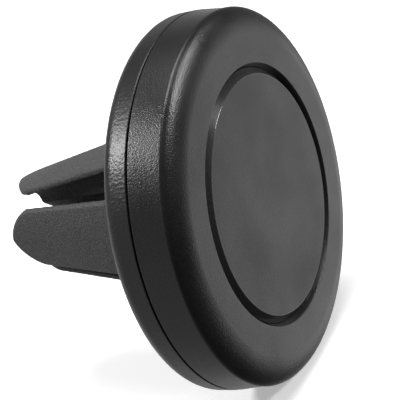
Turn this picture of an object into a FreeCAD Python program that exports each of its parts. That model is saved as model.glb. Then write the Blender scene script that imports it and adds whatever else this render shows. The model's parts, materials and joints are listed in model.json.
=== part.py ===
import FreeCAD
import Part
import math
import os

# Magnetic phone mount for a car's air vent: a round magnetic head that turns on a four-jaw vent clip.
# Millimetres. +Y runs from the phone face to the clip's tips, +Z is up, +X is the reader's right when
# facing the phone face. The origin is on the clip's axis, at the floor of its crossing slots, where the
# edge of the vent blade stops. Depths named d_... are measured back from the phone face along +Y.

V = FreeCAD.Vector

# ---- head: overall sizes ----
head_radius = 21.5          # largest radius, at the parting line
head_depth = 8.6            # phone face to the flat back
parting_depth = 4.4         # phone face to the parting line
parting_gap = 0.14          # visible gap between the two shells
shell_wall = 1.5            # side wall of both shells
inner_bevel = 1.0           # slope in the inner corners of both shells
weld = 0.3                  # overlap by which ribs and bosses join a wall
rear_wall = 1.7             # flat back of the rear shell
back_edge_radius = 1.5      # rounding of the back edge
back_edge_steps = 6         # straight runs along that rounding
back_land_depth = 0.35      # how far the middle of the back drops to its rim

# ---- front cover ----
side_draft = 0.45           # the side band's radius grows by this from the shoulder to the parting line
shoulder_depth = 1.4        # depth of the line where the shoulder meets the side band
shoulder_step = 0.1         # how far the shoulder stands proud of the side band
shoulder_run = 3.15         # radial width of the shoulder, from the flat ring face to the side band
shoulder_power = 1.75       # fullness of the shoulder curve
shoulder_steps = 10         # straight runs along the shoulder curve

# ---- groove and centre disc ----
groove_width = 1.2          # flat top of the disc to the groove's outer edge
groove_depth = 0.75         # depth of the V groove
groove_outer_run = 0.42     # radial run of the groove's outer slope
disc_radius = 13.5          # flat top of the centre disc
disc_thickness = 1.0
disc_chamfer = 0.78         # radial run of the disc's chamfered edge
disc_chamfer_depth = 0.65
disc_gap = 0.06             # slit between the disc and its seat
adhesive_thickness = 0.15
adhesive_inset = 0.4        # adhesive's edge inside the disc's flat top
seat_floor = 0.95           # cover wall under the disc

# ---- magnets and yoke ----
magnet_count = 4
magnet_radius = 5.0
magnet_thickness = 2.1
magnet_chamfer = 0.25
magnet_spacing = 0.84       # plastic between neighbouring pockets, beyond one shared wall
pocket_gap = 0.1
pocket_wall = 0.7
pocket_wall_gap = 0.1       # pocket wall's end to the yoke
yoke_edge = 0.2             # how far the yoke reaches past the magnets
yoke_thickness = 0.8
hold_ring_gap = 2.3         # swivel washer's rim to the rear shell's ring rib that presses on the yoke
hold_ring_wall = 1.0

# ---- shell screws ----
screw_count = 3
screw_hole_radius = 0.85
thread_gap = 0.02           # screw shank to its hole
screw_hole_floor = 0.4      # bottom of a boss's hole behind the cover's front wall
screw_end_gap = 0.5         # screw's end to the bottom of its hole
screw_way_gap = 0.2         # screw hole through the rear shell, beyond the boss's hole
screw_sink = 0.25           # how far a screw head sits below the back
screw_edge_round = 0.35
screw_head_radius = 1.8
screw_head_height = 0.9
screw_recess_gap = 0.2
screw_start_angle = 90.0
boss_radius = 2.1
boss_gap = 0.1              # boss end to the rear shell's floor
boss_side_gap = 0.15        # boss to the notches in the rear shell and the yoke
boss_to_tongue = 0.5
tongue_thickness = 0.7      # lip of the rear shell inside the front cover's wall
tongue_height = 1.3
tongue_gap = 0.08
tongue_root = 1.6           # height over which the tongue joins the rear shell's wall
tongue_bite = 0.3           # how deep it joins that wall

# ---- swivel ----
spigot_radius = 4.5
swivel_clearance = 0.05     # radial, spigot in the rear shell's bore
insert_radius = 2.4
insert_length = 5.2
swivel_screw_radius = 1.5
swivel_screw_length = 6.5   # under the head
swivel_head_radius = 2.9
swivel_head_height = 1.2
swivel_drive_depth = 0.7
drive_slot_radius = 0.45    # half width of a cross drive's arms
drive_slot_length = 2.6
drive_depth = 0.55
insert_sink = 0.1           # insert below the spigot's end
bolt_way_gap = 0.2          # swivel screw to the hub's bore beyond the insert
washer_overlap = 2.1        # how far the swivel washer covers the shell round the spigot
washer_bore_gap = 0.15
washer_thickness = 0.5
washer_lift = 0.04          # spigot end above the rear shell's inner floor
friction_start = 1.1        # spigot to the friction washer's bore
friction_width = 3.0
friction_thickness = 0.5
friction_seat = 0.3         # depth of the washer's seat in the flange
friction_seat_gap = 0.1

# ---- clip hub ----
flange_rim = 2.0            # flange beyond the friction washer
back_land_gap = 1.4         # flat of the back beyond the flange
flange_thickness = 2.0
flange_edge = 0.5
hub_block_height = 4.4      # square block between the flange and the jaws; its end is the slot floor
block_inset = 0.25          # how far the block's faces stand inside the jaws' outer faces

# ---- jaws ----
clip_length = 25.0          # flat back of the head to the jaws' tips
jaw_base_height = 9.45      # axis to the edges of a jaw's outer face, at the flat back of the head
jaw_tip_height = 5.075      # the same height at the jaws' tips
jaw_crown = 0.6             # how far the middle of the outer face stands above its edges
jaw_base_half_width = 5.5   # half width of the outer face, at the flat back of the head
jaw_width_taper = 0.080     # loss of half width per mm towards the tip
jaw_edge = 0.8              # thickness of the outer face's edge
lip_inset = 1.6             # lip's half width below the outer face's half width
lip_edge = 0.3              # thickness of the gripping lip
slot_half_gap = 0.6         # half the slot at rest
scoop_depth = 0.7           # how deep the side scoop bites inwards of the line from edge to lip
scoop_lift = 0.25           # its deepest point above that line's middle
nose_length = 6.6           # length of the rounded nose
nose_ease = 0.02            # the nose's root beyond the jaw's sides, so that they meet cleanly
wedge_end = 3.4             # how far the gripping wedge ends short of the nose's tip
wedge_slope = 1.3           # how much shorter it is at the axis than under the nose
edge_bevel = 0.25           # bevel of the jaw's outer edges
jaw_base_gap = 0.5          # free space in front of a jaw's foot, for its swing

# ---- prongs inside the jaws ----
rubber_cover = 1.0          # rubber over the prong's outer face
prong_side_cover = 1.35     # rubber beside the prong, at its wide side
prong_low_cover = 0.95      # rubber beside the prong, at its narrow side
prong_low_drop = 0.2        # how far the prong reaches below the lip
prong_tip_cover = 6.4       # rubber beyond the prong's end
bead_inset = 3.0            # outer face's edges to the root bead's centre
bead_radius = 1.3           # root bead, the prong's bending line
bead_half_length = 2.9
bead_clearance = 0.06
bead_wall = 0.5             # hub left between the bead's groove and the slot floor
bead_end_gap = 0.1
root_neck = 1.5             # thickness of the neck between bead and prong
neck_inset = 0.3            # neck's ends inside the bead's ends
neck_bite = 0.8             # how far the neck reaches into the prong
neck_gap_in = 0.3           # free space beside the neck, on the axis side
neck_gap_out = 0.6          # free space beside the neck on the other side, where it swings

# ---- places along the axis, depth behind the phone face ----
d_back = head_depth
d_inner_floor = head_depth - rear_wall
d_tip = d_back + clip_length
d_flange = d_back + friction_thickness - friction_seat
d_block = d_flange + flange_thickness
d_slot_floor = d_block + hub_block_height
d_jaw_foot = d_slot_floor + jaw_base_gap
d_bead = d_slot_floor - bead_radius - bead_wall
d_seat = disc_thickness + adhesive_thickness
d_magnet = d_seat + seat_floor
d_yoke = d_magnet + magnet_thickness
d_yoke_back = d_yoke + yoke_thickness
d_spigot = d_inner_floor - washer_lift
d_washer = d_spigot - washer_thickness
d_screw_head = d_back - screw_head_height - screw_sink

# ---- taper and radii that follow from the values above ----
jaw_taper = (jaw_base_height - jaw_tip_height) / clip_length
inner_radius = head_radius - shell_wall
shoulder_radius = head_radius - side_draft
face_radius = shoulder_radius - shoulder_run
disc_outer = disc_radius + disc_chamfer
groove_radius = disc_radius + groove_width
screw_circle = inner_radius - tongue_gap - tongue_thickness - boss_to_tongue - boss_radius
magnet_circle = (magnet_radius + pocket_gap + (pocket_wall + magnet_spacing) / 2) * math.sqrt(2)
yoke_radius = magnet_circle + magnet_radius + yoke_edge
washer_radius = spigot_radius + washer_overlap
hold_ring_radius = washer_radius + hold_ring_gap + hold_ring_wall / 2
friction_inner = spigot_radius + friction_start
friction_outer = friction_inner + friction_width
flange_radius = friction_outer + flange_rim

os.makedirs("parts", exist_ok=True)


def place(depth):
    """Y coordinate of a depth behind the phone face."""
    return depth - d_slot_floor


def revolve(points):
    """Solid of revolution about the Y axis from (radius, depth) points."""
    corners = [V(radius, place(depth), 0) for radius, depth in points]
    wire = Part.makePolygon(corners + [corners[0]])
    return Part.Face(wire).revolve(V(0, 0, 0), V(0, 1, 0), 360)


def rod(radius, depth_from, depth_to, x=0.0, z=0.0):
    """Round bar along Y."""
    return Part.makeCylinder(radius, depth_to - depth_from, V(x, place(depth_from), z), V(0, 1, 0))


def ring(inner, outer, depth_from, depth_to, x=0.0, z=0.0):
    """Round tube along Y."""
    return rod(outer, depth_from, depth_to, x, z).cut(rod(inner, depth_from - 1, depth_to + 1, x, z))


def polar(radius, degrees):
    """X and Z of a point on a circle about the axis."""
    return radius * math.cos(math.radians(degrees)), radius * math.sin(math.radians(degrees))


def cross_drive(depth_from, depth_to, x=0.0, z=0.0):
    """Cross-shaped recess for a screwdriver."""
    half = drive_slot_length / 2
    wide = Part.makeBox(drive_slot_length, depth_to - depth_from, 2 * drive_slot_radius,
                        V(x - half, place(depth_from), z - drive_slot_radius))
    tall = Part.makeBox(2 * drive_slot_radius, depth_to - depth_from, drive_slot_length,
                        V(x - drive_slot_radius, place(depth_from), z - half))
    return wide.fuse(tall)


def save(name, shape):
    """Writes one sub-part."""
    shape = shape.removeSplitter()
    shape.exportStep("parts/" + name + ".step")


def side_radius(depth):
    """Outer radius of the head's side at a depth between the shoulder and the parting line."""
    share = (depth - shoulder_depth) / (parting_depth - shoulder_depth)
    return shoulder_radius + share * (head_radius - shoulder_radius)


def shoulder_points():
    """Outer points of the shoulder, from the flat face to the side band."""
    points = []
    for step in range(shoulder_steps + 1):
        turn = math.pi / 2 * step / shoulder_steps
        run = math.sin(turn) ** (2 / shoulder_power)
        drop = 1 - math.cos(turn) ** (2 / shoulder_power)
        radius = face_radius + run * (shoulder_radius + shoulder_step - face_radius)
        points.append((radius, drop * shoulder_depth))
    return points


def make_front_cover():
    """Front shell: ring face, groove, shoulder, side band, magnet pockets and screw bosses."""
    edge = parting_depth - parting_gap / 2
    seat_radius = disc_outer + disc_gap
    outline = [(0, d_seat), (seat_radius, d_seat), (seat_radius, groove_depth)]
    outline += [(groove_radius - groove_outer_run, groove_depth), (groove_radius, 0)]
    outline += shoulder_points()
    outline += [(shoulder_radius, shoulder_depth), (side_radius(edge), edge)]
    outline += [(inner_radius, edge), (inner_radius, d_magnet + inner_bevel)]
    outline += [(inner_radius - inner_bevel, d_magnet), (0, d_magnet)]
    cover = revolve(outline)
    boss_end = d_inner_floor - boss_gap
    for index in range(screw_count):
        x, z = polar(screw_circle, screw_start_angle + 360 * index / screw_count)
        boss = rod(boss_radius, d_magnet - weld, boss_end, x, z)
        cover = cover.fuse(boss)
    for index in range(magnet_count):
        x, z = polar(magnet_circle, 360 * (index + 0.5) / magnet_count)
        wall = rod(magnet_radius + pocket_gap + pocket_wall, d_magnet - weld, d_yoke - pocket_wall_gap, x, z)
        cover = cover.fuse(wall)
    for index in range(magnet_count):
        x, z = polar(magnet_circle, 360 * (index + 0.5) / magnet_count)
        cover = cover.cut(rod(magnet_radius + pocket_gap, d_magnet, d_yoke + 1, x, z))
    for index in range(screw_count):
        x, z = polar(screw_circle, screw_start_angle + 360 * index / screw_count)
        cover = cover.cut(rod(screw_hole_radius, d_magnet + screw_hole_floor, boss_end + 1, x, z))
    return cover


def make_rear_shell():
    """Rear shell: side wall, rounded edge, flat back with the swivel bore, tongue and ring rib."""
    edge = parting_depth + parting_gap / 2
    rim_back = d_back - back_land_depth
    round_centre = rim_back - back_edge_radius
    outline = [(spigot_radius + swivel_clearance, d_inner_floor)]
    outline += [(inner_radius - inner_bevel, d_inner_floor), (inner_radius, d_inner_floor - inner_bevel)]
    outline += [(inner_radius, edge), (head_radius, edge)]
    for step in range(back_edge_steps + 1):
        turn = math.radians(90 * step / back_edge_steps)
        radius = head_radius - back_edge_radius + back_edge_radius * math.cos(turn)
        outline.append((radius, round_centre + back_edge_radius * math.sin(turn)))
    outline += [(flange_radius + back_land_gap, d_back), (spigot_radius + swivel_clearance, d_back)]
    shell = revolve(outline)
    tongue_outer = inner_radius - tongue_gap
    tongue_inner = tongue_outer - tongue_thickness
    tongue = revolve([(tongue_inner, edge - tongue_height), (tongue_outer, edge - tongue_height),
                      (tongue_outer, edge + tongue_root / 3),
                      (inner_radius + tongue_bite, edge + tongue_root / 2),
                      (inner_radius + tongue_bite, edge + tongue_root), (tongue_inner, edge + tongue_root)])
    shell = shell.fuse(tongue)
    hold = ring(hold_ring_radius - hold_ring_wall / 2, hold_ring_radius + hold_ring_wall / 2,
                d_yoke_back, d_inner_floor + weld)
    shell = shell.fuse(hold)
    for index in range(screw_count):
        x, z = polar(screw_circle, screw_start_angle + 360 * index / screw_count)
        shell = shell.cut(rod(boss_radius + boss_side_gap, edge - 2 * tongue_height, d_inner_floor, x, z))
        shell = shell.cut(rod(screw_head_radius + screw_recess_gap, d_screw_head, d_back + 1, x, z))
        shell = shell.cut(rod(screw_hole_radius + screw_way_gap, d_inner_floor - 1, d_back, x, z))
    return shell


def make_shell_screws():
    """Three self-tapping screws, entered from the back."""
    head_end = d_screw_head + screw_head_height
    screws = []
    for index in range(screw_count):
        x, z = polar(screw_circle, screw_start_angle + 360 * index / screw_count)
        head = rod(screw_head_radius, d_screw_head, head_end, x, z)
        head = head.makeFillet(screw_edge_round, [edge for edge in head.Edges if len(edge.Vertexes) == 1
                                                  and edge.CenterOfMass.y > place(head_end) - 0.01])
        head = head.cut(cross_drive(head_end - drive_depth, d_back + 1, x, z))
        shank = rod(screw_hole_radius - thread_gap, d_magnet + screw_hole_floor + screw_end_gap,
                    d_screw_head + weld, x, z)
        screws.append(head.fuse(shank))
    return Part.makeCompound(screws)


def make_centre_disc():
    """Plain inlay with a chamfered edge."""
    return revolve([(0, 0), (disc_radius, 0), (disc_outer, disc_chamfer_depth), (disc_outer, disc_thickness),
                    (0, disc_thickness)])


def make_magnet(index):
    """One disc magnet with chamfered edges."""
    x, z = polar(magnet_circle, 360 * (index + 0.5) / magnet_count)
    magnet = rod(magnet_radius, d_magnet, d_yoke, x, z)
    return magnet.makeChamfer(magnet_chamfer, [edge for edge in magnet.Edges if len(edge.Vertexes) == 1])


def make_yoke():
    """Steel plate behind the magnets, notched where it would meet the screw bosses."""
    yoke = rod(yoke_radius, d_yoke, d_yoke_back)
    for index in range(screw_count):
        x, z = polar(screw_circle, screw_start_angle + 360 * index / screw_count)
        yoke = yoke.cut(rod(boss_radius + boss_side_gap, d_yoke - 1, d_yoke_back + 1, x, z))
    return yoke


def make_clip_hub():
    """Clip base: spigot, flange, square block with the four bead grooves and the slot floor."""
    flange = rod(flange_radius, d_flange, d_block)
    flange = flange.makeFillet(flange_edge, [edge for edge in flange.Edges if len(edge.Vertexes) == 1
                                             and edge.CenterOfMass.y > place(d_block) - 0.01])
    hub = flange.fuse(rod(spigot_radius, d_spigot, d_flange + weld))
    hub = hub.cut(ring(friction_inner - friction_seat_gap, friction_outer + friction_seat_gap,
                       d_flange - 1, d_flange + friction_seat))
    hub = hub.fuse(make_hub_block())
    half_length = bead_half_length + bead_end_gap
    for turn in range(4):
        groove = bead_rod(bead_radius + bead_clearance, half_length)
        relief = Part.makeBox(2 * half_length, 2 * bead_radius + bead_wall,
                              root_neck + neck_gap_in + neck_gap_out,
                              V(-half_length, place(d_bead), bead_height() - root_neck / 2 - neck_gap_in))
        hub = hub.cut(groove.fuse(relief).rotated(V(0, 0, 0), V(0, 1, 0), 90 * turn))
    hub = hub.cut(rod(insert_radius, d_spigot - 1, d_spigot + insert_length))
    return hub.cut(rod(swivel_screw_radius + bolt_way_gap, d_spigot, d_spigot + swivel_screw_length))


def make_hub_block():
    """Tapered block with cut corners, whose end is the floor of the crossing slots."""
    sections = []
    for depth in (d_block - weld, d_slot_floor):
        corners = octagon(jaw_height(depth) - block_inset, jaw_half_width(depth) - block_inset, depth)
        sections.append(Part.makePolygon(corners + [corners[0]]))
    return Part.makeLoft(sections, True, True)


def octagon(half, near, depth):
    """Corners of a square with cut corners: half is its half width, near that of its flats."""
    y = place(depth)
    return [V(half, y, -near), V(half, y, near), V(near, y, half), V(-near, y, half),
            V(-half, y, near), V(-half, y, -near), V(-near, y, -half), V(near, y, -half)]


def jaw_height(depth):
    """Distance from the axis to the edges of a jaw's outer face."""
    return jaw_base_height - jaw_taper * (depth - d_back)


def jaw_half_width(depth):
    """Half width of a jaw's outer face."""
    return jaw_base_half_width - jaw_width_taper * (depth - d_back)


def lip_half_width(depth):
    """Half width of a jaw at its gripping lip."""
    return jaw_half_width(depth) - lip_inset


def slot_offset():
    """Height above the axis where a jaw's two gripping faces meet."""
    return slot_half_gap * math.sqrt(2)


def bead_height():
    """Distance from the axis to a prong's root bead."""
    return jaw_height(d_bead) - bead_inset


def bead_rod(radius, half_length):
    """Round bar along X at the top jaw's bending line."""
    return Part.makeCylinder(radius, 2 * half_length, V(-half_length, place(d_bead), bead_height()),
                             V(1, 0, 0))


def jaw_section(depth):
    """Cross-section of the top jaw: crowned outer face, edges, side scoops, lips and two gripping faces."""
    y = place(depth)
    height = jaw_height(depth)
    wide = jaw_half_width(depth)
    lip = lip_half_width(depth)
    edge_low = height - jaw_edge
    lip_low = lip + slot_offset()
    lip_top = lip_low + lip_edge
    scoop_x = (wide + lip) / 2 - scoop_depth
    scoop_z = (edge_low + lip_top) / 2 + scoop_lift

    def at(x, z):
        return V(x, y, z)

    crown = Part.Arc(at(-wide, height), at(0, height + jaw_crown), at(wide, height)).toShape()
    right = Part.Arc(at(wide, edge_low), at(scoop_x, scoop_z), at(lip, lip_top)).toShape()
    left = Part.Arc(at(-lip, lip_top), at(-scoop_x, scoop_z), at(-wide, edge_low)).toShape()
    grip = [at(lip, lip_top), at(lip, lip_low), at(0, slot_offset()), at(-lip, lip_low), at(-lip, lip_top)]
    edges = [crown, Part.makeLine(at(wide, height), at(wide, edge_low)), right]
    edges += [Part.makeLine(a, b) for a, b in zip(grip, grip[1:])]
    edges += [left, Part.makeLine(at(-wide, edge_low), at(-wide, height))]
    return Part.Wire(edges)


def nose_cutter():
    """Everything outside the jaw's plan outline, whose end is rounded by one arc on each side."""
    far = 2 * clip_length
    root = d_tip - nose_length
    wide = jaw_half_width(root) + nose_ease
    share = math.sqrt(0.5)

    def at(x, depth):
        return V(x, place(depth), -far)

    bulge = root + nose_length * share
    right = Part.Arc(at(wide, root), at(wide * share, bulge), at(0, d_tip)).toShape()
    left = Part.Arc(at(0, d_tip), at(-wide * share, bulge), at(-wide, root)).toShape()
    rest = [at(-wide, root), at(-far, root), at(-far, d_tip + far), at(far, d_tip + far)]
    rest += [at(far, root), at(wide, root)]
    outline = Part.Wire([right, left] + [Part.makeLine(a, b) for a, b in zip(rest, rest[1:])])
    return Part.Face(outline).extrude(V(0, 0, 2 * far))


def wedge_cutter():
    """What is cut from under the nose, so that the gripping wedge ends before the tip."""
    far = 2 * clip_length
    end = d_tip - wedge_end
    under = jaw_height(end) - jaw_edge
    tip_under = jaw_height(d_tip) - jaw_edge
    corners = [V(-far, place(d_tip + 1), tip_under), V(-far, place(end), under),
               V(-far, place(end - wedge_slope), 0), V(-far, place(end - wedge_slope), -far),
               V(-far, place(d_tip + 1), -far)]
    face = Part.Face(Part.makePolygon(corners + [corners[0]]))
    return face.extrude(V(2 * far, 0, 0))


def on_outer_face(edge):
    """True for the edges round the top jaw's outer face, apart from its foot."""
    middle = edge.CenterOfMass
    return middle.z > jaw_height(middle.y + d_slot_floor) - 0.02 and middle.y > place(d_jaw_foot) + 0.1


def make_jaw_outer():
    """Outer form of the top jaw."""
    jaw = Part.makeLoft([jaw_section(d_jaw_foot), jaw_section(d_tip)], True, True)
    jaw = jaw.cut(nose_cutter())
    jaw = jaw.cut(wedge_cutter())
    return jaw.makeChamfer(edge_bevel, [edge for edge in jaw.Edges if on_outer_face(edge)])


def prong_section(depth):
    """Cross-section of the top prong: a wedge that narrows towards the slot."""
    y = place(depth)
    top = jaw_height(depth) - rubber_cover
    top_half = jaw_half_width(depth) - prong_side_cover
    low = lip_half_width(depth) + slot_offset() - prong_low_drop
    low_half = lip_half_width(depth) - prong_low_cover
    corners = [V(-top_half, y, top), V(top_half, y, top), V(low_half, y, low), V(-low_half, y, low)]
    return Part.makePolygon(corners + [corners[0]])


def make_prong_bar():
    """The part of the top prong that the rubber covers."""
    return Part.makeLoft([prong_section(d_jaw_foot), prong_section(d_tip - prong_tip_cover)], True, True)


def make_prong():
    """Top prong: covered bar, neck and root bead."""
    bead = bead_rod(bead_radius, bead_half_length)
    neck_half = bead_half_length - neck_inset
    neck = Part.makeBox(2 * neck_half, d_jaw_foot + neck_bite - d_bead, root_neck,
                        V(-neck_half, place(d_bead), bead_height() - root_neck / 2))
    return make_prong_bar().fuse(bead).fuse(neck)


def make_sleeve(prong):
    """Top rubber jaw: outer form with the cavity of the prong that it is moulded round."""
    return make_jaw_outer().cut(prong)


def make_swivel_screw():
    """Pan-head screw that holds the head on the clip."""
    head_end = d_washer - swivel_head_height
    head = rod(swivel_head_radius, head_end, d_washer)
    shank = rod(swivel_screw_radius, d_washer - weld, d_washer + swivel_screw_length)
    return head.fuse(shank).cut(cross_drive(head_end - 1, head_end + swivel_drive_depth))


def main():
    save("front_cover", make_front_cover())
    save("rear_shell", make_rear_shell())
    save("shell_screws", make_shell_screws())
    save("centre_disc", make_centre_disc())
    save("disc_adhesive", rod(disc_radius - adhesive_inset, disc_thickness, d_seat))
    for index in range(magnet_count):
        save("magnet_%d" % (index + 1), make_magnet(index))
    save("yoke_plate", make_yoke())
    save("clip_hub", make_clip_hub())
    save("threaded_insert", ring(swivel_screw_radius, insert_radius, d_spigot + insert_sink,
                                 d_spigot + insert_length))
    save("swivel_washer", ring(swivel_screw_radius + washer_bore_gap, washer_radius, d_washer, d_spigot))
    save("swivel_screw", make_swivel_screw())
    save("friction_washer", ring(friction_inner, friction_outer, d_back, d_back + friction_thickness))
    prong = make_prong()
    sleeve = make_sleeve(prong)
    for turn, side in enumerate(("top", "right", "bottom", "left")):
        save("prong_" + side, prong.rotated(V(0, 0, 0), V(0, 1, 0), 90 * turn))
        save("jaw_sleeve_" + side, sleeve.rotated(V(0, 0, 0), V(0, 1, 0), 90 * turn))


main()
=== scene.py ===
import json
import math

import bpy
from mathutils import Matrix, Vector, noise


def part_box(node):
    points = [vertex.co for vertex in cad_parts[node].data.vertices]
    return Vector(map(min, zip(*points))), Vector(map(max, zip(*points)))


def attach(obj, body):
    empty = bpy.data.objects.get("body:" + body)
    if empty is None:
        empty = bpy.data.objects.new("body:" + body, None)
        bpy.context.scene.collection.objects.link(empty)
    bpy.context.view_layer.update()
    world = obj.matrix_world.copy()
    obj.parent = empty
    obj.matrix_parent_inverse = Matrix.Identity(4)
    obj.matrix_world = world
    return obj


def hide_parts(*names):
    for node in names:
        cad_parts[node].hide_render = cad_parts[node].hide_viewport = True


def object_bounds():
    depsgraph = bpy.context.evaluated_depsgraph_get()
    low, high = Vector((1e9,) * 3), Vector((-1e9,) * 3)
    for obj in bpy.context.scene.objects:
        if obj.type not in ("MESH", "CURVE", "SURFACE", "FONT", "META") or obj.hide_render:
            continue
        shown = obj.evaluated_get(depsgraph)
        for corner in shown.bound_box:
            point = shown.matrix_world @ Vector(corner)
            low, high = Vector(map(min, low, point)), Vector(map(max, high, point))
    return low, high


# Magnetic phone mount for a car's air vent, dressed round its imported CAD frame.
# Metres. +Y runs from the phone face to the clip's tips, +Z is up.

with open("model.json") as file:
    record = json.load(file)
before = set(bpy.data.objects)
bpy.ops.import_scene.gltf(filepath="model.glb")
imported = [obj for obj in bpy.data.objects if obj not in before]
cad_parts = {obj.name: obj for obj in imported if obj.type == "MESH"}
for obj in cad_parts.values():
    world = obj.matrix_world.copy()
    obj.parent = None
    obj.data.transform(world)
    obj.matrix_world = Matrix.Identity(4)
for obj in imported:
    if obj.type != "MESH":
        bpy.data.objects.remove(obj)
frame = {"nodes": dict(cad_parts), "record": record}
cad_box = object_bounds()

MM = 0.001
TURN = 2 * math.pi

# ---- places read from the frame ----
face_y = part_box("front_cover")[0].y
back_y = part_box("rear_shell")[1].y
part_y = (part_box("front_cover")[1].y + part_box("rear_shell")[0].y) / 2
head_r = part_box("rear_shell")[1].x

# ---- sizes of the head's outer form ----
parting_gap = 0.14 * MM
parting_edge_r = 0.12 * MM
shoulder_r = 21.05 * MM
shoulder_depth = 1.4 * MM
shoulder_step = 0.1 * MM
face_r = 17.9 * MM
face_wall = 2.1 * MM
shoulder_power = 1.75
groove_r = 14.7 * MM
groove_depth = 0.75 * MM
groove_outer_run = 0.42 * MM
groove_foot_r = 0.06 * MM
groove_lip_r = 0.16 * MM
disc_r = 13.5 * MM
disc_chamfer = 0.78 * MM
disc_thickness = 1.0 * MM
disc_gap = 0.06 * MM
disc_edge_r = 0.12 * MM
disc_foot_r = 0.05 * MM
disc_foot_rise = 0.1 * MM
disc_seat_depth = 1.15 * MM
glossy_rim_overlap = 0.1 * MM
back_edge_r = 1.5 * MM
back_land = 0.35 * MM
flange_land_r = 12.0 * MM
flange_blend_r = 3 * MM
bore_r = 4.55 * MM
wall = 1.5 * MM
back_wall = 1.7 * MM
screw_count = 3
screw_circle = 16.62 * MM
screw_recess_r = 2.0 * MM
screw_way_r = 1.05 * MM
screw_seat_depth = 1.15 * MM
recess_chamfer = 0.1 * MM
recess_flare = 4 * recess_chamfer
recess_overrun = 3 * recess_chamfer
cutter_overrun = MM
straight_up = 0.25  # of a turn: the first screw's place

# ---- sizes of the clip's finer copies ----
jaw_voxel = 0.13 * MM
hub_voxel = 0.17 * MM
rubber_grain = 0.30 * MM
rubber_grain_depth = 0.02 * MM
grain_falloff = 1.0
grain_lacunarity = 2.0
grain_octaves = 2

# ---- fineness of the meshes ----
ROUND_SEGMENTS = 288
RECESS_SEGMENTS = 64
SHOULDER_STEPS = 28
ARC_STEP = 12  # degrees
FILLET_SHARE = 0.45  # of a side, the most that a fillet takes
HOLD_SHARE = 0.04  # of a side, the most that a holding point stands off


# ---------------------------------------------------------------- mesh helpers
def unit(v):
    return v.normalized() if v.length > 1e-12 else v


def filleted(corners, hold=0.04 * MM):
    """Closed outline of (radius, depth, fillet) corners.

    A fillet becomes an arc with a holding point on each side, so that the smooth shading stays tight.
    """
    out = []
    count = len(corners)
    for i, (r, d, f) in enumerate(corners):
        p = Vector((r, d))
        a = Vector(corners[i - 1][:2])
        b = Vector(corners[(i + 1) % count][:2])
        to_a, to_b = unit(a - p), unit(b - p)
        if f <= 0:
            out.append(p)
            continue
        half = math.acos(max(-1, min(1, to_a.dot(to_b)))) / 2
        run = min(f / math.tan(half), FILLET_SHARE * (a - p).length, FILLET_SHARE * (b - p).length)
        radius = run * math.tan(half)
        centre = p + unit(to_a + to_b) * (radius / math.sin(half))
        start, end = p + to_a * run, p + to_b * run
        steps = max(3, int(math.degrees(math.pi - 2 * half) / ARC_STEP) + 1)
        s, e = start - centre, end - centre
        angle = s.angle_signed(e) if s.length > 0 else 0
        out.append(start + to_a * min(hold, HOLD_SHARE * (a - p).length))
        for k in range(steps + 1):
            t = -angle * k / steps
            c, n = math.cos(t), math.sin(t)
            out.append(centre + Vector((s.x * c - s.y * n, s.x * n + s.y * c)))
        out.append(end + to_b * min(hold, HOLD_SHARE * (b - p).length))
    return out


def lathe(name, outline, segments=ROUND_SEGMENTS):
    """Closed solid of revolution about Y from (radius, y) points."""
    verts, rings = [], []
    for p in outline:
        if p[0] < 1e-7:
            rings.append([len(verts)])
            verts.append((0, p[1], 0))
            continue
        start = len(verts)
        for k in range(segments):
            a = TURN * k / segments
            verts.append((p[0] * math.cos(a), p[1], p[0] * math.sin(a)))
        rings.append(list(range(start, start + segments)))
    faces = []
    for i, ring in enumerate(rings):
        nxt = rings[(i + 1) % len(rings)]
        if len(ring) == 1 and len(nxt) == 1:
            continue
        for k in range(segments):
            m = (k + 1) % segments
            if len(ring) == 1:
                faces.append((ring[0], nxt[k], nxt[m]))
            elif len(nxt) == 1:
                faces.append((ring[k], nxt[0], ring[m]))
            else:
                faces.append((ring[k], nxt[k], nxt[m], ring[m]))
    return solid(name, verts, faces)


def solid(name, verts, faces):
    """Mesh object with outward normals and smooth shading."""
    mesh = bpy.data.meshes.new(name)
    mesh.from_pydata([tuple(v) for v in verts], [], faces)
    mesh.validate()
    obj = bpy.data.objects.new(name, mesh)
    bpy.context.scene.collection.objects.link(obj)
    bpy.context.view_layer.objects.active = obj
    bpy.ops.object.select_all(action="DESELECT")
    obj.select_set(True)
    bpy.ops.object.mode_set(mode="EDIT")
    bpy.ops.mesh.select_all(action="SELECT")
    bpy.ops.mesh.normals_make_consistent(inside=False)
    bpy.ops.object.mode_set(mode="OBJECT")
    mesh.shade_smooth()
    return obj


def weighted(obj, degrees=40):
    """Keeps flat areas flat in the smooth shading."""
    obj.data.set_sharp_from_angle(angle=math.radians(degrees))
    mod = obj.modifiers.new("weighted", "WEIGHTED_NORMAL")
    mod.keep_sharp = True
    mod.weight = 80
    return obj


def bake(obj):
    """Applies the modifiers of an object."""
    evaluated = obj.evaluated_get(bpy.context.evaluated_depsgraph_get())
    made = bpy.data.meshes.new_from_object(evaluated)
    obj.modifiers.clear()
    obj.data = made


def remoulded(name, cad_node, voxel, passes, grain=0.0, depth=0.0):
    """A finer copy of a CAD piece, with slightly rounded edges and, where depth is given, a real grain."""
    obj = bpy.data.objects.new(name, frame["nodes"][cad_node].data.copy())
    bpy.context.scene.collection.objects.link(obj)
    remesh = obj.modifiers.new("remesh", "REMESH")
    remesh.mode, remesh.voxel_size = "VOXEL", voxel
    soften = obj.modifiers.new("soften", "SMOOTH")
    soften.factor, soften.iterations = 0.5, passes
    bake(obj)
    if depth:
        normals = [v.normal.copy() for v in obj.data.vertices]
        for v, normal in zip(obj.data.vertices, normals):
            height = noise.fractal(v.co / grain, grain_falloff, grain_lacunarity, grain_octaves)
            v.co += normal * depth * height
    obj.data.shade_smooth()
    return obj


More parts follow.
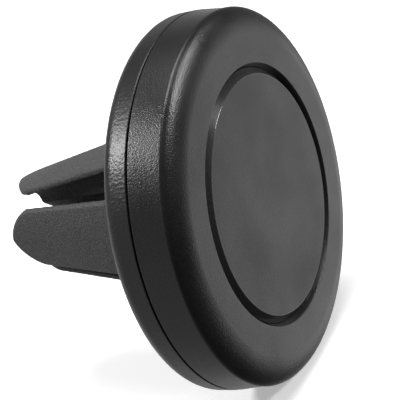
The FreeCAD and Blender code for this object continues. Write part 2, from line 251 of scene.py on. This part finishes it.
def dress(obj, body, slot, cad_node):
    """Puts a piece on its body in place of a CAD node. A piece with two materials keeps them."""
    if len(obj.data.materials) < 2:
        obj.data.materials.clear()
        obj.data.materials.append(materials[slot])
    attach(obj, body)
    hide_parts(cad_node)


# ---------------------------------------------------------------- materials
def node(tree, kind, x, y, **values):
    """Adds a shader node at a place in the editor."""
    made = tree.nodes.new(kind)
    made.location = (x, y)
    for key, value in values.items():
        setattr(made, key, value)
    return made


CLOUD_SCALE = 140
NOISE_LOW, NOISE_HIGH = 0.3, 0.7


def plastic(name, colour, rough, grain, depth, rough_span=0.06, spec=0.5, tone=0.25):
    """Moulded plastic: a spark-eroded grain, uneven sheen and a tone that varies at random with the grain.
    """
    mat = bpy.data.materials.new(name)
    mat.use_nodes = True
    tree = mat.node_tree
    tree.nodes.clear()
    out = node(tree, "ShaderNodeOutputMaterial", 900, 0)
    bsdf = node(tree, "ShaderNodeBsdfPrincipled", 600, 0)
    tree.links.new(bsdf.outputs[0], out.inputs[0])
    bsdf.inputs["Specular IOR Level"].default_value = spec
    place = node(tree, "ShaderNodeTexCoord", -1200, 0)
    fine = node(tree, "ShaderNodeTexNoise", -800, 200)
    fine.inputs["Scale"].default_value = 1 / grain
    fine.inputs["Detail"].default_value = 3
    fine.inputs["Roughness"].default_value = 0.55
    cells = node(tree, "ShaderNodeTexVoronoi", -800, -100, feature="SMOOTH_F1")
    cells.inputs["Scale"].default_value = 0.8 / grain
    cloud = node(tree, "ShaderNodeTexNoise", -800, -400)
    cloud.inputs["Scale"].default_value = CLOUD_SCALE
    cloud.inputs["Detail"].default_value = 4
    for tex in (fine, cells, cloud):
        tree.links.new(place.outputs["Object"], tex.inputs["Vector"])
    height = node(tree, "ShaderNodeMath", -500, 100, operation="ADD")
    tree.links.new(fine.outputs["Fac"], height.inputs[0])
    tree.links.new(cells.outputs["Distance"], height.inputs[1])
    bump = node(tree, "ShaderNodeBump", 300, -200)
    bump.inputs["Strength"].default_value = 1.0
    bump.inputs["Distance"].default_value = depth
    tree.links.new(height.outputs[0], bump.inputs["Height"])
    tree.links.new(bump.outputs[0], bsdf.inputs["Normal"])
    span = node(tree, "ShaderNodeMapRange", 0, 0)
    span.inputs["From Min"].default_value = NOISE_LOW
    span.inputs["From Max"].default_value = NOISE_HIGH
    span.inputs["To Min"].default_value = rough - rough_span
    span.inputs["To Max"].default_value = rough + rough_span
    tree.links.new(cloud.outputs["Fac"], span.inputs["Value"])
    tree.links.new(span.outputs[0], bsdf.inputs["Roughness"])
    ramp = node(tree, "ShaderNodeValToRGB", 0, 300)
    ramp.color_ramp.elements[0].position = NOISE_LOW
    ramp.color_ramp.elements[0].color = (*[c * (1 - tone) for c in colour], 1)
    ramp.color_ramp.elements[1].position = NOISE_HIGH
    ramp.color_ramp.elements[1].color = (*[c * (1 + tone) for c in colour], 1)
    tree.links.new(fine.outputs["Fac"], ramp.inputs["Fac"])
    tree.links.new(ramp.outputs["Color"], bsdf.inputs["Base Color"])
    return mat


def metal(name, colour, rough):
    """Worked metal: the plastic's nodes with a faint grain, made metallic."""
    mat = plastic(name, colour, rough, grain=0.6 * MM, depth=0.004 * MM)
    bsdf = next(n for n in mat.node_tree.nodes if n.type == "BSDF_PRINCIPLED")
    bsdf.inputs["Metallic"].default_value = 1.0
    return mat


black = (0.012, 0.012, 0.0125)
plastics = {
    "cover_plastic": dict(colour=black, rough=0.31, grain=0.11 * MM, depth=0.018 * MM, tone=0.6),
    "shell_plastic": dict(colour=black, rough=0.36, grain=0.24 * MM, depth=0.026 * MM),
    "disc_plastic": dict(colour=black, rough=0.38, grain=0.11 * MM, depth=0.018 * MM, tone=0.6),
    "disc_rim": dict(colour=(0.030, 0.030, 0.031), rough=0.20, grain=0.20 * MM, depth=0.002 * MM,
                     rough_span=0.04),
    "jaw_rubber": dict(colour=(0.060, 0.060, 0.060), rough=0.62, grain=0.15 * MM, depth=0.075 * MM,
                       tone=0.75),
    "clip_nylon": dict(colour=black, rough=0.40, grain=0.30 * MM, depth=0.012 * MM),
    "silicone": dict(colour=(0.05, 0.05, 0.05), rough=0.5, grain=0.4 * MM, depth=0.004 * MM),
    "adhesive": dict(colour=(0.7, 0.68, 0.6), rough=0.6, grain=0.4 * MM, depth=0.004 * MM),
}
metals = {
    "magnet_nickel": dict(colour=(0.72, 0.71, 0.68), rough=0.12),
    "yoke_steel": dict(colour=(0.55, 0.55, 0.56), rough=0.32),
    "screw_steel": dict(colour=(0.6, 0.6, 0.6), rough=0.3),
    "black_steel": dict(colour=(0.06, 0.06, 0.065), rough=0.35),
    "brass": dict(colour=(0.72, 0.55, 0.25), rough=0.25),
}
materials = {name: plastic(name, **look) for name, look in plastics.items()}
materials.update({name: metal(name, **look) for name, look in metals.items()})

for row in frame["record"]["subparts"]:
    obj = frame["nodes"][row["node"]]
    obj.data.materials.clear()
    obj.data.materials.append(materials[row["material_slot"]])
    obj.data.shade_smooth()
    obj.data.set_sharp_from_angle(angle=math.radians(25))


# ---------------------------------------------------------------- head
def shoulder(steps=SHOULDER_STEPS):
    """Outer points of the shoulder as (radius, y), from the flat face to the side band."""
    points = []
    for step in range(steps + 1):
        turn = math.pi / 2 * step / steps
        run = math.sin(turn) ** (2 / shoulder_power)
        drop = 1 - math.cos(turn) ** (2 / shoulder_power)
        points.append((face_r + run * (shoulder_r + shoulder_step - face_r),
                       face_y + drop * shoulder_depth))
    return points


def make_cover():
    """Front shell: the disc's seat, the groove, the ring face, the shoulder and the tapered side band."""
    edge = part_y - parting_gap / 2
    seat_r = disc_r + disc_chamfer + disc_gap
    inner = head_r - wall
    floor_y = face_y + face_wall
    seat_y = face_y + disc_seat_depth
    band = part_y - face_y - shoulder_depth
    side = shoulder_r + (head_r - shoulder_r) * (edge - face_y - shoulder_depth) / band
    front = [(0, seat_y, 0), (seat_r, seat_y, 0), (seat_r, face_y + groove_depth, 0),
             (groove_r - groove_outer_run, face_y + groove_depth, groove_foot_r),
             (groove_r, face_y, groove_lip_r)]
    rear = [(shoulder_r, face_y + shoulder_depth, 0), (side, edge, parting_edge_r),
            (inner, edge, 0), (inner, floor_y, 0), (0, floor_y, 0)]
    arc = [(r, y, 0) for r, y in shoulder()]
    return weighted(lathe("cover_shell", filleted(front + arc + rear)))


def make_disc():
    """Centre inlay, with a glossy material on its chamfered rim."""
    outer = disc_r + disc_chamfer
    y = face_y
    outline = [(0, y, 0), (disc_r, y, disc_edge_r),
               (outer, y + groove_depth - disc_foot_rise, disc_foot_r),
               (outer, y + disc_thickness, 0), (0, y + disc_thickness, 0)]
    disc = weighted(lathe("centre_inlay", filleted(outline)))
    disc.data.materials.append(materials["disc_plastic"])
    disc.data.materials.append(materials["disc_rim"])
    for face in disc.data.polygons:
        centre = face.center
        if math.hypot(centre.x, centre.z) > disc_r - glossy_rim_overlap:
            face.material_index = 1
    return disc


def make_shell():
    """Back shell, with a stepped and chamfered recess for each of its screws."""
    edge = part_y + parting_gap / 2
    inner = head_r - wall
    floor_y = back_y - back_wall
    outline = [(bore_r, floor_y, 0), (inner, floor_y, 0), (inner, edge, 0), (head_r, edge, parting_edge_r),
               (head_r, back_y - back_land, back_edge_r), (flange_land_r, back_y, flange_blend_r),
               (bore_r, back_y, 0)]
    shell = lathe("back_shell", filleted(outline))
    seat_y = back_y - screw_seat_depth
    inside_y = floor_y - cutter_overrun
    outside_y = back_y + recess_overrun
    recess = [(0, inside_y), (screw_way_r, inside_y), (screw_way_r, seat_y), (screw_recess_r, seat_y),
              (screw_recess_r, back_y - recess_chamfer - back_land / 2),
              (screw_recess_r + recess_flare, outside_y), (0, outside_y)]
    for index in range(screw_count):
        angle = TURN * (straight_up + index / screw_count)
        cutter = lathe("recess_cutter", recess, RECESS_SEGMENTS)
        cutter.location = (screw_circle * math.cos(angle), 0, screw_circle * math.sin(angle))
        bpy.context.view_layer.update()
        cut = shell.modifiers.new("recess", "BOOLEAN")
        cut.operation, cut.solver, cut.object = "DIFFERENCE", "EXACT", cutter
        bake(shell)
        bpy.data.objects.remove(cutter)
    shell.data.shade_smooth()
    return weighted(shell)


dress(make_cover(), "head", "cover_plastic", "front_cover")
dress(make_disc(), "head", "disc_plastic", "centre_disc")
dress(make_shell(), "head", "shell_plastic", "rear_shell")


# ---------------------------------------------------------------- clip
for side in ("top", "right", "bottom", "left"):
    sleeve = "jaw_sleeve_" + side
    jaw = remoulded("rubber_jaw_" + side, sleeve, jaw_voxel, passes=3,
                    grain=rubber_grain, depth=rubber_grain_depth)
    dress(jaw, "jaw_" + side, "jaw_rubber", sleeve)
dress(remoulded("clip_base", "clip_hub", hub_voxel, passes=2), "clip", "clip_nylon", "clip_hub")


# ---------------------------------------------------------------- studio
def direction(azimuth, elevation):
    """Unit vector from the object towards a compass place: azimuth 0 is -Y, 90 is +X."""
    a, e = math.radians(azimuth), math.radians(elevation)
    return Vector((math.sin(a) * math.cos(e), -math.cos(a) * math.cos(e), math.sin(e)))


camera_azimuth = -56.9
camera_elevation = 21.4
camera_roll = -19.4
camera_distance = 126.6 * MM
camera_aim_right = 8.12 * MM
camera_aim_up = 0.68 * MM
camera_lens = 102.4
camera_near, camera_far = 0.005, 20


def make_camera():
    """Camera that looks at a place beside the face's centre, rolled about its own line of sight."""
    back = direction(camera_azimuth, camera_elevation)
    turn = math.radians(camera_azimuth)
    level_right = Vector((math.cos(turn), math.sin(turn), 0))
    roll = math.radians(camera_roll)
    level_up = back.cross(level_right)
    right = level_right * math.cos(roll) + level_up * math.sin(roll)
    up = back.cross(right)
    face_centre = Vector((0, face_y, 0))
    data = bpy.data.cameras.new("camera")
    data.lens = camera_lens
    data.clip_start, data.clip_end = camera_near, camera_far
    cam = bpy.data.objects.new("camera", data)
    bpy.context.scene.collection.objects.link(cam)
    cam.matrix_world = Matrix(((right.x, up.x, back.x, 0), (right.y, up.y, back.y, 0),
                               (right.z, up.z, back.z, 0), (0, 0, 0, 1)))
    cam.location = face_centre + back * camera_distance - right * camera_aim_right - up * camera_aim_up
    bpy.context.scene.camera = cam


make_camera()


floor_flat_r = 0.6
floor_sweep_r = 0.4
floor_wall_top = 0.7
floor_sweep_steps = 12
floor_segments = 96
floor_glow = 0.38


def make_floor():
    """Round pale floor that sweeps up to a wall all round.

    Only the camera sees it. It throws no light on the object, and stops none of the world's from below.
    """
    floor_z = cad_box[0].z
    outline = [(floor_flat_r, 0.0)]
    for k in range(1, floor_sweep_steps + 1):
        a = math.radians(90) * k / floor_sweep_steps
        outline.append((floor_flat_r + floor_sweep_r * math.sin(a), floor_sweep_r * (1 - math.cos(a))))
    outline.append((floor_flat_r + floor_sweep_r, floor_wall_top))
    verts, faces, segments = [(0, 0, floor_z)], [], floor_segments
    for r, h in outline:
        for k in range(segments):
            a = TURN * k / segments
            verts.append((r * math.cos(a), r * math.sin(a), floor_z + h))
    for k in range(segments):
        faces.append((0, 1 + k, 1 + (k + 1) % segments))
    for i in range(len(outline) - 1):
        for k in range(segments):
            a, b = 1 + i * segments + k, 1 + i * segments + (k + 1) % segments
            faces.append((a, a + segments, b + segments, b))
    mesh = bpy.data.meshes.new("floor")
    mesh.from_pydata(verts, [], faces)
    mesh.shade_smooth()
    obj = bpy.data.objects.new("floor", mesh)
    bpy.context.scene.collection.objects.link(obj)
    mat = bpy.data.materials.new("floor")
    mat.use_nodes = True
    bsdf = mat.node_tree.nodes["Principled BSDF"]
    bsdf.inputs["Base Color"].default_value = (0.86, 0.86, 0.86, 1)
    bsdf.inputs["Roughness"].default_value = 0.9
    bsdf.inputs["Emission Color"].default_value = (1, 1, 1, 1)
    bsdf.inputs["Emission Strength"].default_value = floor_glow
    mesh.materials.append(mat)
    obj.visible_glossy = False
    obj.visible_diffuse = False
    obj.visible_shadow = False


make_floor()


def softbox(name, towards, distance, width, height, power):
    """Rectangular area light that faces the object."""
    data = bpy.data.lights.new(name, "AREA")
    data.shape = "RECTANGLE"
    data.size, data.size_y = width, height
    data.energy = power
    obj = bpy.data.objects.new(name, data)
    bpy.context.scene.collection.objects.link(obj)
    obj.location = towards * distance
    obj.rotation_euler = towards.to_track_quat("Z", "Y").to_euler()


# The way to each light, then its distance, width and height in metres, and its power in watts.
for name, aim, distance, width, height, power in (
    ("overhead", Vector((0.11, -0.13, 0.98)), 0.6, 0.28, 0.28, 2.4),
    ("key", Vector((-0.42, 0.52, 0.76)), 0.5, 0.12, 0.12, 1.7),
    ("front", Vector((0.42, -0.78, 0.46)), 0.5, 0.10, 0.08, 1.35),
):
    softbox(name, aim.normalized(), distance, width, height, power)

# The way to each soft patch of the world, its strength, and the two cosines between which it fades in
# from patch_floor.
world_patches = (
    (Vector((0.83, -0.39, -0.39)), 1.05, 0.89, 0.97),
    (Vector((0.0, 0.0, 1.0)), 0.10, -0.2, 1.0),
    (Vector((-0.60, 0.62, -0.50)), 0.45, 0.30, 0.95),
    (Vector((0.60, 0.70, -0.35)), 0.60, 0.45, 0.98),
)
patch_floor = 0.0125


def make_world():
    """Soft light from all round, made of patches that add up, the brightest low on the face's side."""
    world = bpy.data.worlds.new("world")
    bpy.context.scene.world = world
    world.use_nodes = True
    tree = world.node_tree
    tree.nodes.clear()
    out = node(tree, "ShaderNodeOutputWorld", 900, 0)
    sky = node(tree, "ShaderNodeBackground", 600, 0)
    tree.links.new(sky.outputs[0], out.inputs[0])
    place = node(tree, "ShaderNodeTexCoord", -900, 0)
    total = None
    for aim, strength, low, high in world_patches:
        dot = node(tree, "ShaderNodeVectorMath", -600, 0, operation="DOT_PRODUCT")
        dot.inputs[1].default_value = aim.normalized()
        tree.links.new(place.outputs["Generated"], dot.inputs[0])
        span = node(tree, "ShaderNodeMapRange", -300, 0, interpolation_type="SMOOTHSTEP")
        span.inputs["From Min"].default_value = low
        span.inputs["From Max"].default_value = high
        span.inputs["To Min"].default_value = patch_floor
        span.inputs["To Max"].default_value = strength
        tree.links.new(dot.outputs["Value"], span.inputs["Value"])
        if total is None:
            total = span
        else:
            add = node(tree, "ShaderNodeMath", 0, 0, operation="ADD")
            tree.links.new(total.outputs[0], add.inputs[0])
            tree.links.new(span.outputs[0], add.inputs[1])
            total = add
    tree.links.new(total.outputs[0], sky.inputs["Strength"])
    sky.inputs["Color"].default_value = (1, 1, 1, 1)


make_world()
bpy.context.scene.view_settings.view_transform = "Standard"
